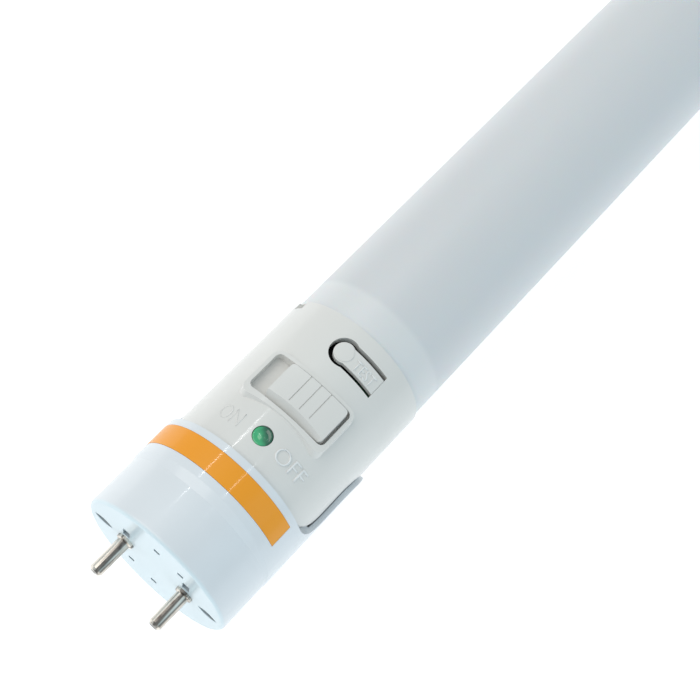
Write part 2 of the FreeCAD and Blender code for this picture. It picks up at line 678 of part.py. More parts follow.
def test_window(slot, root):
    """The keyhole round the test arm; with no slot it is the arm's own outline."""
    ring = post("test_disc / 2 + %s" % slot, "test_place", "0", ("7", "20"))
    leg = box(("test_place - test_arm / 2 - %s" % slot, "test_place + test_arm / 2 + %s" % slot),
              ("%s - test_root" % root, "0"), ("7", "20"))
    return fuse(ring, leg)


def latch_window():
    """The small window in the housing's rim where the tube's tab catches."""
    return place_latch(box(("housing_end - 1.6", "housing_end + 0.1"), ("-1.4", "1.4"),
                           ("spigot_r + 0.2", "housing_r + 2")))


def place_latch(block):
    turn = Placement(Vector(), Rotation(Vector(1, 0, 0), -62))
    holder = fresh("Part::Compound", "Latch")
    holder.Links = [block]
    holder.Placement = turn
    return holder


def switch_knob():
    """The sliding knob at rest, with its front bevel and finger grooves."""
    x = ("switch_middle - knob_width / 2", "switch_middle + knob_width / 2")
    y = ("knob_rest - knob_length / 2", "knob_rest + knob_length / 2")
    block = rounded(box(x, y, ("knob_floor", "knob_top + 1")), "knob_corner", lies("z"))
    crown = rod("frame_crown", ("switch_middle - knob_width", "switch_middle + knob_width"),
                z="knob_top - frame_crown")
    solid = common(block, crown)
    front = "%s - 0.01" % x[0]
    back = "%s + knob_bevel" % x[0]
    bevel = extruded_across([(front, "knob_top - bevel_drop"), (front, "knob_top + 2"),
                             (back, "knob_top + 2"), (back, "knob_top")], "tube_diameter")
    under = rod("frame_crown - groove_sink", ("switch_middle - knob_width", "switch_middle + knob_width"),
                z="knob_top - frame_crown")
    grooves = []
    for i in range(3):
        middle = "%s + groove_first + %d * groove_pitch" % (y[0], i)
        groove = box(("%s + 0.4" % back, "%s + 1" % x[1]),
                     ("%s - groove_width / 2" % middle, "%s + groove_width / 2" % middle),
                     ("knob_top - 2", "knob_top + 1"))
        grooves.append(cut(groove, under))
    half = "(actuator_side / 2 + actuator_play)"
    socket = box(("switch_middle - %s" % half, "switch_middle + %s" % half),
                 ("knob_rest - %s" % half, "knob_rest + %s" % half),
                 ("knob_floor - 1", "actuator_top + 0.05"))
    return cut(solid, bevel, socket, *grooves)


def extruded_across(points, length):
    """A bar across the lamp; points are (along, up)."""
    body = fresh("PartDesign::Body", "Across")
    sketch = outline(body, "XZ_Plane", points)
    pad = body.newObject("PartDesign::Pad", body.Name + "_Pad")
    pad.Profile = (sketch, [""])
    pad.Midplane = True
    pad.setExpression("Length", linked(length))
    doc.recompute()
    return body


def switch_actuator():
    return box(("switch_middle - actuator_side / 2", "switch_middle + actuator_side / 2"),
               ("knob_rest - actuator_side / 2", "knob_rest + actuator_side / 2"),
               ("slide_body_top - 1", "actuator_top"))


def slide_switch_body():
    reach = "(knob_travel / 2 + actuator_side / 2 + slide_margin)"
    case = box(("switch_middle - slide_half_width", "switch_middle + slide_half_width"),
               ("-%s" % reach, reach), ("board_top", "slide_body_top"))
    slot = box(("switch_middle - actuator_side / 2 - 0.2", "switch_middle + actuator_side / 2 + 0.2"),
               ("knob_rest - actuator_side / 2 - 0.3", "knob_rest + knob_travel + actuator_side / 2 + 0.3"),
               ("slide_body_top - 1.3", "slide_body_top + 1"))
    return cut(case, slot)


def test_lever():
    """The arm, its round button and the peg that reaches the push switch."""
    shape = common(test_window("0", "test_root_gap"),
                   cut(rod("housing_r", ("test_place - 4", "test_place + 4")),
                       rod("housing_r - test_wall", ("test_place - 5", "test_place + 5"))))
    pad = common(post("test_disc / 2 - 0.25", "test_place", "0", ("7", "housing_r + 0.15")),
                 rod("housing_r + 0.15", ("test_place - 3", "test_place + 3")))
    above = cut(pad, rod("housing_r - 0.5", ("test_place - 4", "test_place + 4")))
    peg = post("1", "test_place", "0", ("plunger_top + peg_gap", "housing_r - test_wall / 2"))
    return fuse(shape, above, peg)


def tact_switch_body():
    case = box(("test_place - tact_side / 2", "test_place + tact_side / 2"),
               ("-tact_side / 2", "tact_side / 2"), ("board_top", "tact_top"))
    return cut(rounded(case, "0.5", lies("z")),
               post("plunger_diameter / 2 + 0.1", "test_place", "0", ("tact_top - 1.2", "tact_top + 1")))


def tact_plunger():
    return post("plunger_diameter / 2", "test_place", "0", ("tact_top - 0.7", "plunger_top"))


def status_led():
    """A small round light: flange, dome and two legs into the board."""
    dome = rounded(post("led_diameter / 2", "led_place", "0", ("led_seat", "led_top")), "0.7",
                   lambda e: len(e.Vertexes) == 1 and e.CenterOfMass.z > number("led_top") - 0.1)
    flange = post("led_diameter / 2 + led_flange", "led_place", "0", ("led_seat", "led_seat + 1"))
    legs = [box(("led_place - 0.25", "led_place + 0.25"), ("%s - 0.25" % y, "%s + 0.25" % y),
                ("board_top - board_wall", "led_seat + 0.1")) for y in ("-led_leg_y", "led_leg_y")]
    return fuse(dome, flange, *legs)


def status_led_spacer():
    tube = post("led_diameter / 2 + led_flange", "led_place", "0", ("board_top", "led_seat"))
    slots = [post("0.45", "led_place", y, ("board_top - 1", "led_seat + 1"))
             for y in ("-led_leg_y", "led_leg_y")]
    return cut(tube, *slots)


def control_board():
    plate = box(("board_start", "board_end"), ("-board_half_width", "board_half_width"),
                ("board_top - board_wall", "board_top"))
    holes = [post("screw_diameter / 2 + screw_play", "board_hole_x", "%s * (board_hole_y)" % side,
                  ("board_top - 3", "board_top + 1")) for side in ("-1", "1")]
    holes += [box(("led_place - 0.3", "led_place + 0.3"), ("%s - 0.3" % y, "%s + 0.3" % y),
                  ("board_top - 3", "board_top + 1")) for y in ("-led_leg_y", "led_leg_y")]
    return cut(plate, *holes)


def upright_screw(x, y, seat, length):
    """A small screw with its head above the seat and its shank below."""
    shank = post("screw_diameter / 2", x, y, ("%s - %s" % (seat, length), "%s + 0.2" % seat))
    head = post("screw_head / 2", x, y, (seat, "%s + screw_head_height" % seat))
    slot = box(("%s - screw_head" % x, "%s + screw_head" % x),
               ("%s - screw_slot / 2" % y, "%s + screw_slot / 2" % y),
               ("%s + screw_head_height - screw_slot" % seat, "%s + screw_head_height + 1" % seat))
    return cut(fuse(shank, head), slot)


def indicator_band():
    return band_shape("0", "sleeve_r - band_depth + band_play", "sleeve_r + 0.03")


# ---------------------------------------------------------------- tube and its inside
def diffuser_tube():
    return turned([("housing_end", "tube_in"), ("housing_end", "tube_r"),
                   ("lamp_length - far_collar_end", "tube_r"), ("lamp_length - far_collar_end", "tube_in")])


def heatsink_rail():
    """A flat rail with a lip each side of the light board."""
    lip_top = "rail_top + strip_wall + 0.4"
    lip = "strip_half_width + 0.2"
    section = [("-rail_half_width", "rail_bottom"), ("rail_half_width", "rail_bottom"),
               ("rail_half_width", "rail_top"), ("%s + rail_lip" % lip, "rail_top"),
               ("%s + rail_lip" % lip, lip_top), (lip, lip_top), (lip, "rail_top"),
               ("-(%s)" % lip, "rail_top"), ("-(%s)" % lip, lip_top),
               ("-(%s) - rail_lip" % lip, lip_top), ("-(%s) - rail_lip" % lip, "rail_top"),
               ("-rail_half_width", "rail_top")]
    bar = extruded(section, "rail_start", "lamp_length - rail_start + housing_end - far_collar_end")
    holes = [post("screw_diameter / 2 + screw_play", x, "0", ("rail_bottom - 1", "rail_top + 1"))
             for x in ("rail_screw_x", far_screw_x())]
    holes += [post("screw_diameter / 2", x, y, ("rail_bottom - 1", "rail_top - 0.3"))
              for x, y in standoff_spots()]
    return cut(bar, *holes)


def far_screw_x():
    return "lamp_length - (rail_screw_x - housing_end + far_collar_end)"


def led_board():
    return box(("strip_start", "strip_end"), ("-strip_half_width", "strip_half_width"),
               ("rail_top", "rail_top + strip_wall"))


def led_packages():
    """Light packages along the board's middle, each a body with a sunk window."""
    run = number("strip_end - strip_start")
    pitch = number("package_pitch")
    count = int((run - pitch) // pitch) + 1
    things = []
    for i in range(count):
        x = "strip_start + (strip_end - strip_start) / 2 + %s * package_pitch" % (i - (count - 1) / 2)
        case = box(("%s - 1.75" % x, "%s + 1.75" % x), ("-1.4", "1.4"),
                   ("rail_top + strip_wall", "rail_top + strip_wall + 0.8"))
        window = box(("%s - 1.3" % x, "%s + 1.3" % x), ("-1", "1"),
                     ("rail_top + strip_wall + 0.6", "rail_top + strip_wall + 1"))
        things.append(cut(case, window))
    return group(things)


def battery_cell(index):
    """A round cell with its raised contact at the far end."""
    start = "pack_start + %d * (cell_length + cell_gap)" % index
    can = rounded(rod("cell_diameter / 2", (start, "%s + cell_length - 1" % start), z="cell_height"), "0.8",
                  lambda e: len(e.Vertexes) == 1)
    contact = rod("2.6", ("%s + cell_length - 1.2" % start, "%s + cell_length" % start), z="cell_height")
    return fuse(can, contact)


def battery_wrap():
    span = ("pack_start - wrap_end", "pack_end + wrap_end")
    return cut(rod("wrap_r", span, z="cell_height"), rod("wrap_r - wrap_wall", span, z="cell_height"))


def battery_tape():
    return box(("pack_start + 5", "pack_end - 5"), ("-4", "4"), ("cell_height + wrap_r", "rail_bottom"))


def driver_board():
    plate = box(("driver_start", "driver_end"), ("-driver_width / 2", "driver_width / 2"),
                ("driver_bottom", "driver_top"))
    holes = [post("screw_diameter / 2 + screw_play", x, y, ("driver_bottom - 1", "driver_top + 1"))
             for x, y in standoff_spots()]
    return cut(plate, *holes)


def standoff_spots():
    return [(x, y) for x in ("driver_start + driver_hole_x", "driver_end - driver_hole_x")
            for y in ("-driver_hole_y", "driver_hole_y")]


def driver_standoffs():
    return group([cut(post("1.9", x, y, ("driver_top", "rail_bottom")),
                      post("screw_diameter / 2 + screw_play", x, y, ("driver_top - 1", "rail_bottom + 1")))
                  for x, y in standoff_spots()])


def driver_screws():
    """Screws from below, through the board and its standoffs into the rail."""
    return group([fuse(post("screw_diameter / 2", x, y, ("driver_bottom - 0.2", "rail_bottom + 1.2")),
                       post("screw_head / 2", x, y, ("driver_bottom - screw_head_height", "driver_bottom")))
                  for x, y in standoff_spots()])


def driver_transformer():
    """Two core halves' outline with the winding between them."""
    low = "driver_bottom - core_height"
    core = box(("driver_start + 50", "driver_start + 66"), ("-core_half_width", "core_half_width"),
               (low, "driver_bottom"))
    inner = "core_half_width - 1.3"
    notch = [box(("driver_start + 53", "driver_start + 63"), y, ("%s - 1" % low, "driver_bottom + 1"))
             for y in (("-core_half_width - 1", "-(%s)" % inner), (inner, "core_half_width + 1"))]
    winding = rod("core_height / 2 - 0.2", ("driver_start + 53", "driver_start + 63"),
                  z="driver_bottom - core_height / 2")
    return fuse(cut(core, *notch), winding)


def driver_capacitors():
    """Three cans that lie on the board, each with a groove round it."""
    cans = []
    for offset, length, radius in ((16, 16, "can_r"), (36, 11, "0.8 * can_r"), (98, 13, "can_r")):
        start = "driver_start + %d" % offset
        z = "driver_bottom - (%s)" % radius
        can = rod(radius, (start, "%s + %d" % (start, length)), z=z)
        ring = cut(rod("%s + 1" % radius, ("%s + 1.4" % start, "%s + 2" % start), z=z),
                   rod("%s - 0.3" % radius, ("%s + 1.3" % start, "%s + 2.1" % start), z=z))
        cans.append(cut(can, ring))
    return group(cans)


def driver_choke():
    """A drum-shaped choke standing under the board."""
    x = "driver_start + 82"
    return fuse(post("5", x, "0", ("driver_bottom - 1.2", "driver_bottom")),
                post("3.6", x, "0", ("driver_bottom - core_height + 1.2", "driver_bottom")),
                post("5", x, "0", ("driver_bottom - core_height", "driver_bottom - core_height + 1.2")))


def battery_leads():
    """Two leads from the pack's end to the driver board."""
    wires = []
    for y in ("-2", "2"):
        wires.append(lead([("pack_end + wrap_end", y, "cell_height"),
                           ("pack_end + 15", y, "cell_height + 0.6"),
                           ("driver_start - 12", "0.6 * (%s)" % y, "driver_bottom - 2.4"),
                           ("driver_start + 3.5", "0.6 * (%s)" % y, "driver_bottom - 0.75")],
                          "wire_diameter / 2"))
    return group(wires)


def pin_leads():
    """Two leads from the pins' tails to the underside of the control board."""
    wires = []
    for side in ("-1", "1"):
        y = "%s * pin_spacing / 2" % side
        wires.append(lead([("cap_face_wall + pin_tail + 0.1", y, "0"), ("board_start - 3.5", y, "0"),
                           ("board_start + 2", "%s * 0.6" % y, "2.2"),
                           ("board_start + 7", "%s * 0.5" % y, "board_top - board_wall - 0.75")],
                          "wire_diameter / 2"))
    return group(wires)


def control_harness():
    """Four leads from the control board, below the pack, to the driver board."""
    wires = []
    for side, rise in (("-1", "-1.2"), ("1", "-1.2"), ("-1", "-3"), ("1", "-3")):
        y = "%s * (tube_in - 2.9) + (%s) * (%s + 1.2) * 0.05" % (side, side, rise)
        wires.append(lead([("board_end - 8", "%s * 4.4" % side, "board_top - board_wall + (%s) + 0.3" % rise),
                           ("board_end - 1", "%s * 6" % side, "%s" % rise),
                           ("pack_start - 8", y, rise), ("driver_start - 14", y, rise),
                           ("driver_start + 1.5", "%s * (tube_in - 3.1)" % side, "%s - 0.6" % rise)],
                          "wire_diameter / 2"))
    return group(wires)


def far_pin_leads():
    """Two leads from the far pins back to the driver board."""
    wires = []
    for side in ("-1", "1"):
        y = "%s * pin_spacing / 2" % side
        wires.append(lead([("lamp_length - cap_face_wall - pin_tail - 0.1", y, "0"),
                           ("lamp_length - 17", y, "0"), ("lamp_length - 34", y, "-3"),
                           ("driver_end + 26", y, "-4.4"),
                           ("driver_end - 2.2", "%s * 6" % side, "driver_bottom - 0.75")],
                          "wire_diameter / 2"))
    return group(wires)


# ---------------------------------------------------------------- far end
def far_collar():
    """The fixed collar: neck in the cap, visible ring, key and spigot."""
    seam = "far_collar_end"
    step = "far_cap_length + tongue_gap"
    shell = turned([(from_end("far", x), r) for x, r in [
        ("neck_start", "neck_in"), ("neck_start", "neck_r"),
        ("ring_start", "neck_r"), ("ring_start", "neck_r - ring_depth"),
        ("ring_start + ring_width", "neck_r - ring_depth"), ("ring_start + ring_width", "neck_r"),
        (step, "neck_r"), (step, "housing_r"), (seam, "housing_r"), (seam, "spigot_r"),
        ("far_spigot_end", "spigot_r"), ("far_spigot_end", "neck_in")]])
    span = span_from("far", "far_cap_length - key_length + tongue_gap", "%s + 0.5" % step)
    key = cut(wedge("housing_r", span, "0", "key_half_angle"), rod("neck_r - 0.2", span))
    ledge_span = span_from("far", "far_collar_end - 1", "far_spigot_end")
    ledge = common(box(ledge_span, ("-tube_r", "tube_r"), ("rail_bottom - ledge_wall", "rail_bottom")),
                   rod("neck_in + 0.5", ledge_span))
    return cut(fuse(shell, key, ledge),
               post("screw_diameter / 2", far_screw_x(), "0", ("rail_bottom - 1.2", "rail_bottom + 1")))


def far_end_cap():
    """The plain turning cap, with a notch in its rim for the collar's key."""
    bore = rod("bore_r", span_from("far", "cap_face_wall", "far_cap_length + 1"))
    notch = wedge("cap_r + 1", span_from("far", "far_cap_length - key_length", "far_cap_length + 1"),
                  "(turn_ahead - turn_back) / 2",
                  "key_half_angle + stop_clearance + (turn_ahead + turn_back) / 2")
    return cut(cap_blank("far", "far_cap_length"), bore, notch, *cap_hollows("far"))


# ---------------------------------------------------------------- assembly
def build():
    for end in ("near", "far"):
        node("%s_pin_left" % end, contact_pin(end, "1"))
        node("%s_pin_right" % end, contact_pin(end, "-1"))
        node("%s_pin_clamp" % end, pin_clamp(end))
        node("%s_clamp_screws" % end, clamp_screws(end))
        node("%s_retaining_ring" % end, retaining_ring(end))
    node("near_end_cap", near_end_cap())
    node("indicator_band", indicator_band())
    node("control_housing", control_housing())
    node("switch_knob", switch_knob())
    node("switch_actuator", switch_actuator())
    node("slide_switch_body", slide_switch_body())
    node("test_lever", test_lever())
    node("tact_switch_body", tact_switch_body())
    node("tact_plunger", tact_plunger())
    node("status_led", status_led())
    node("status_led_spacer", status_led_spacer())
    node("control_board", control_board())
    board_screws = [upright_screw("board_hole_x", "%s * (board_hole_y)" % side, "board_top", "3.2")
                    for side in ("-1", "1")]
    node("control_board_screws", group(board_screws))
    node("near_rail_screw", upright_screw("rail_screw_x", "0", "rail_top", "2.7"))
    node("far_rail_screw", upright_screw(far_screw_x(), "0", "rail_top", "2.7"))
    node("diffuser_tube", diffuser_tube())
    node("heatsink_rail", heatsink_rail())
    node("led_board", led_board())
    node("led_packages", led_packages())
    for index in range(int(number("cell_count"))):
        node("battery_cell_%d" % (index + 1), battery_cell(index))
    node("battery_wrap", battery_wrap())
    node("battery_tape", battery_tape())
    node("driver_board", driver_board())
    node("driver_standoffs", driver_standoffs())
    node("driver_screws", driver_screws())
    node("driver_transformer", driver_transformer())
    node("driver_capacitors", driver_capacitors())
    node("driver_choke", driver_choke())
    node("battery_leads", battery_leads())
    node("pin_leads", pin_leads())
    node("control_harness", control_harness())
    node("far_pin_leads", far_pin_leads())
    node("far_collar", far_collar())
    node("far_end_cap", far_end_cap())


def check_and_write():
    """Stop on any failed object or bad shape, then write one file a sub-part."""
    doc.recompute()
    for thing in doc.Objects:
        if {"Invalid", "Error"} & set(thing.State):
            raise RuntimeError("%s (%s) failed: %s" % (thing.Name, thing.Label, thing.State))
    for label, thing in PARTS.items():
        if thing.Shape.isNull() or not thing.Shape.isValid() or not thing.Shape.Solids:
            raise RuntimeError("bad shape: " + label)
    os.makedirs("parts", exist_ok=True)
    for label, thing in PARTS.items():
        thing.Shape.exportStep("parts/%s.step" % label)
        edges = thing.Shape.BoundBox
        print("%-22s %2d solids %9.1f mm3  x %.2f..%.2f  y %.2f..%.2f  z %.2f..%.2f" % (
            label, len(thing.Shape.Solids), thing.Shape.Volume, edges.XMin, edges.XMax,
            edges.YMin, edges.YMax, edges.ZMin, edges.ZMax))
    print(len(PARTS), "sub-parts")


build()
check_and_write()
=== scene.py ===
import math

import bpy
from mathutils import Matrix, Quaternion, Vector


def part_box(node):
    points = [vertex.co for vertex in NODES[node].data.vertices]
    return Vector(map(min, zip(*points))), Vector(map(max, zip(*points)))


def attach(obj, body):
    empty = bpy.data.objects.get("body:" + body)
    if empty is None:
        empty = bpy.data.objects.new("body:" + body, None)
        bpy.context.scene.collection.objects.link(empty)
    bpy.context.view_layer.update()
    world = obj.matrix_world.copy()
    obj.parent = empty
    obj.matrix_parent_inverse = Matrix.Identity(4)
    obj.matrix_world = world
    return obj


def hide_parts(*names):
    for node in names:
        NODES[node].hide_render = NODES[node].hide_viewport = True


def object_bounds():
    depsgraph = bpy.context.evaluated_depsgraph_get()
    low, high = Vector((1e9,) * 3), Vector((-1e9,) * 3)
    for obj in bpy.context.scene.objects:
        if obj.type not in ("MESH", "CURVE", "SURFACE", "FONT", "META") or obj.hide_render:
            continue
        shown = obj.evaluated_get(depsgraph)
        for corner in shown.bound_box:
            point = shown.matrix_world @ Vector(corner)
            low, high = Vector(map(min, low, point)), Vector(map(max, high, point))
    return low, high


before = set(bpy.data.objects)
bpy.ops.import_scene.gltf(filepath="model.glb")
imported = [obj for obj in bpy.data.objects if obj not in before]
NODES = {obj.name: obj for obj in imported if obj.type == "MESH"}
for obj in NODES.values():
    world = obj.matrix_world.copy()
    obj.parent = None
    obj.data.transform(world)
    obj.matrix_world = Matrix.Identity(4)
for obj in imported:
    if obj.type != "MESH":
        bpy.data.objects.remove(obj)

bl_info = {
    "name": "LED tube finisher",
    "version": (1, 0, 0),
    "blender": (4, 5, 0),
    "location": "3D View > Sidebar > LED tube",
    "description": "Finishes a battery-backed LED tube: mouldings, lettering, lens, pins and a light table",
    "category": "Object",
}

MM = 0.001
CAD_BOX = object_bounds()
HOUSING_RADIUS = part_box("control_housing")[1].y
LAMP_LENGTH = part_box("far_end_cap")[1].x
TUBE_START, TUBE_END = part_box("diffuser_tube")[0].x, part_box("diffuser_tube")[1].x
TUBE_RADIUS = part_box("diffuser_tube")[1].y
WHITE = (1, 1, 1)

# Lights: the way from the subject to each, their distances and their sides in metres.
KEY_WAY, KEY_SIDES = Vector((-0.25, 0.50, 0.83)), (0.8, 0.8)
FILL_WAY, FILL_SIDES = Vector((-0.15, -0.80, 0.58)), (0.8, 0.6)
SOFT_DISTANCE = 0.9
HIGH_STRIP_WAY, HIGH_STRIP_SIDES = Vector((0.289, 0.478, 0.832)), (0.075, 0.010)
LOW_STRIP_WAY, LOW_STRIP_SIDES = Vector((0.279, -0.166, 0.946)), (0.026, 0.008)
STRIP_DISTANCE = 0.8
LOW_STRIP_SHARE = 1 / 3
FLOOR_SHEEN = 0.1

# The floor's level is as far below the axis as the near cap's highest point is above it, less this.
FLOOR_LIFT = 0.55 * MM

# Camera: sensor width in millimetres and near limit in metres.
SENSOR_WIDTH = 36
CLIP_START = 0.01

# Where one colour blends into the next, as the start and end of the blend.
SPIGOT_SHADE = (5.2 * MM, 6.6 * MM)      # in from each end of the diffuser
# The next blend lays painted cool light on the end faces: a cyan cast that stands in for the light that they
# catch.
FACE_LIGHT = (0.05 * MM, 0.7 * MM)        # in from each end face of the lamp
SLOT_SHADE = (0.02 * MM, 0.14 * MM)      # into the slots of an end face
SLOT_LIMIT = (12.8 * MM, 13.1 * MM)      # out from the axis, on an end face
PHOSPHOR_EDGE = (0.9 * MM, 1.1 * MM)     # out from the middle line of the light packages
LENS_SHADE = (-0.9 * MM, 1.1 * MM)       # slantwise over the status lens

# Words.
LETTER_SINK = 0.02 * MM      # depth of the letters' backs in the housing
LETTER_THINNING = -0.010     # offset of the font's outline
LETTER_CURVES = 4            # points in each curve of the outline
FORMER_SIDES = 720           # sides of the cylinder that the letters are wrapped on
ON_TO_OFF = 0.68             # width of ON as a share of OFF
TEST_RISE = 0.7              # rise of TEST as a share of the other fresh letters
MERGE_DISTANCE = 1e-7

# Dark and light grain of the cast, pressed and foamed materials.
SWITCH_GRAIN = ((0.012, 0.012, 0.012), (0.03, 0.03, 0.03))
TAPE_GRAIN = ((0.10, 0.10, 0.10), (0.20, 0.20, 0.20))
FERRITE_GRAIN = ((0.02, 0.02, 0.022), (0.07, 0.065, 0.06))
LEAD_GRAIN = ((0.28, 0.015, 0.012), (0.40, 0.03, 0.02))
PHOSPHOR_GRAIN = ((0.85, 0.62, 0.08), (0.95, 0.78, 0.2))


# ---------------------------------------------------------------- sizes and colours
def length(label, note, size):
    return bpy.props.FloatProperty(name=label, description=note, default=size, unit="LENGTH", precision=5)


def angle(label, note, degrees):
    return bpy.props.FloatProperty(name=label, description=note, default=math.radians(degrees),
                                   subtype="ANGLE")


def colour(label, note, rgb):
    return bpy.props.FloatVectorProperty(name=label, description=note, default=rgb, size=3, min=0, max=1,
                                         subtype="COLOR")


def factor(label, note, value, top=1.0):
    return bpy.props.FloatProperty(name=label, description=note, default=value, min=0, max=top)


class TubeStage(bpy.types.PropertyGroup):
    """Camera, floor and lights."""
    target: bpy.props.FloatVectorProperty(
        name="Target", description="Point that the camera looks at", default=(0.0501, 0.0021, 0), size=3,
        subtype="TRANSLATION")
    distance: length("Distance", "Camera from its target", 0.2655)
    azimuth: angle("Azimuth", "Camera's turn about the vertical, 0 looks along +Y", -67.4)
    elevation: angle("Elevation", "Camera above the horizon", 65.4)
    roll: angle("Roll", "Camera's turn about its own line of sight", 19.9)
    lens: bpy.props.FloatProperty(name="Lens", description="Focal length in mm", default=79.9)
    floor_side: length("Floor", "Side of the floor", 6.0)
    floor_gap: length("Floor gap", "Floor below the lamp's lowest point", 0.0002)
    floor_colour: colour("Floor colour", "Pale floor", (0.55, 0.56, 0.57))
    floor_glow: factor("Floor glow", "Light that the light table gives by itself", 0.68, 5)
    sky_colour: colour("Sky colour", "Light from all round", (0.86, 0.96, 1.0))
    key_colour: colour("Key colour", "Warm tint of the large soft light", (1.0, 0.94, 0.88))
    fill_colour: colour("Fill colour", "Cool tint of the light on the other side", (0.42, 0.80, 1.0))
    sky: factor("Sky", "Strength of the light from all round", 0.56, 10)
    key: factor("Key light", "Power of the large soft light in watts", 3.3, 1000)
    fill: factor("Fill light", "Power of the light on the other side in watts", 0.75, 1000)
    streak: factor("Strip lights", "Power of the higher narrow strip in watts", 0.10, 1000)


class TubeLettering(bpy.types.PropertyGroup):
    """Raised words on the housing."""
    rise: length("Rise", "How far the strokes stand out", 0.2 * MM)
    worn_rise: length("Worn rise", "How far the worn strokes of ON stand out", 0.05 * MM)
    off_x: length("OFF along", "Middle of the word OFF from the cap's face", 23.4 * MM)
    off_tall: length("OFF height", "Height of the letters", 2.7 * MM)
    off_wide: length("OFF width", "Length of the word round the housing", 6.5 * MM)
    off_turn: angle("OFF angle", "Middle of the word OFF from the top towards the test key", 27)
    test_x: length("TEST along", "Middle of the word TEST from the cap's face", 43.05 * MM)
    test_tall: length("TEST height", "Height of the letters", 1.9 * MM)
    test_wide: length("TEST width", "Length of the word round the housing", 4.5 * MM)
    test_turn: angle("TEST angle", "Middle of the word TEST from the top towards -Y", 19.4)


class TubePieces(bpy.types.PropertyGroup):
    """Sizes of the lens and the diffuser."""
    lens_body: length("Lens body", "Status light from its flange's underside to its top", 3.9 * MM)
    lens_flange: length("Lens flange", "Width of the flange round the status light", 0.4 * MM)
    lens_step: length("Flange height", "Thickness of that flange", 1.0 * MM)
    lens_rim: length("Lens rim", "Width of the lens's rim", 0.38 * MM)
    lens_dish: length("Lens dish", "Depth of the hollow in the lens", 0.12 * MM)
    lens_floor: length("Lens floor", "Width of the flat at the hollow's foot", 0.3 * MM)
    lens_bump: length("Lens bump", "Width of the slope of the bump in the middle", 0.35 * MM)
    lens_bump_rise: length("Bump height", "Height of that bump", 0.12 * MM)
    lens_edge: length("Lens edge", "Rounding of the status light's edges", 0.12 * MM)
    tube_wall: length("Tube wall", "Wall of the diffuser", 1.0 * MM)
    tube_edge: length("Tube edge", "Rounding of the diffuser's ends", 0.18 * MM)


class TubeColours(bpy.types.PropertyGroup):
    """Colours of the finishes."""
    cap: colour("Cap", "Cool white moulding", (0.80, 0.84, 0.88))
    # Painted light: a cool cyan cast on the end faces that stands in for the light that they catch.
    face_light_tint: colour("Cap face", "Tint of the cap's end face", (0.72, 0.87, 0.94))
    slot: colour("Slots", "Shade inside the slots of the end faces", (0.42, 0.47, 0.50))
    housing: colour("Housing", "Warm white moulding", (0.80, 0.79, 0.765))
    # Painted highlight: the raised strokes are the housing's white made lighter, standing in for the light on
    # their tops.
    letters: colour("Letters", "Raised words", (0.90, 0.91, 0.91))
    band: colour("Band", "Orange insert", (1.0, 0.37, 0.003))
    diffuser: colour("Diffuser", "Frosted tube", (0.715, 0.73, 0.75))
    diffuser_end: colour("Diffuser end", "Tube where the spigot shows through", (0.79, 0.80, 0.81))
    status: colour("Status lens", "Green lens", (0.05, 0.50, 0.21))
    status_dark: colour("Status dark", "Shaded side of the lens", (0.006, 0.11, 0.06))
    pin: colour("Pin", "Nickel plating", (0.86, 0.80, 0.72))
    # Painted reflection: the dark streaks on the pins stand in for dark surroundings mirrored in the plating;
    # some of this colour is tarnish.
    pin_reflection_and_tarnish: colour("Pin dark", "Tarnish in the drawing marks", (0.07, 0.055, 0.05))
    nylon: colour("Nylon", "Clamp plates, standoffs and spacer", (0.72, 0.72, 0.66))
    rail: colour("Rail", "Drawn aluminium", (0.72, 0.73, 0.75))
    screws: colour("Screws", "Plated steel", (0.55, 0.55, 0.56))
    rings: colour("Rings", "Spring steel", (0.38, 0.38, 0.40))
    board: colour("Board", "Green solder mask", (0.02, 0.14, 0.06))
    tracks: colour("Tracks", "Copper under the green mask", (0.04, 0.26, 0.12))
    light_board: colour("Light board", "White solder mask", (0.86, 0.86, 0.84))
    light_tracks: colour("Light tracks", "Copper under the white mask", (0.76, 0.77, 0.76))
    light_case: colour("Light case", "Case of a light package", (0.85, 0.85, 0.82))
    cell: colour("Cell", "Battery cell's can", (0.52, 0.53, 0.56))
    wrap: colour("Wrap", "Shrink film round the cells", (0.02, 0.09, 0.30))
    sleeve: colour("Sleeve", "Sleeve of the capacitors", (0.05, 0.055, 0.09))


# ---------------------------------------------------------------- shader nodes
class Wire:
    """A socket's value that takes part in arithmetic; each operator adds a Math node."""

    def __init__(self, graph, socket):
        self.graph = graph
        self.socket = socket

    def math(self, operation, *others):
        values = dict(enumerate((self,) + others))
        return self.graph.add("ShaderNodeMath", {"operation": operation}, values)

    def __add__(self, other):
        return self.math("ADD", other)

    def __sub__(self, other):
        return self.math("SUBTRACT", other)

    def __mul__(self, other):
        return self.math("MULTIPLY", other)

    def __rsub__(self, other):
        return self.graph.add("ShaderNodeMath", {"operation": "SUBTRACT"}, {0: other, 1: self})

    __radd__ = __add__
    __rmul__ = __mul__

    def ramp(self, low, high):
        """0 at low, 1 at high, smooth between."""
        return self.graph.add("ShaderNodeMapRange", {"interpolation_type": "SMOOTHSTEP"},
                              {"Value": self, "From Min": low, "From Max": high})


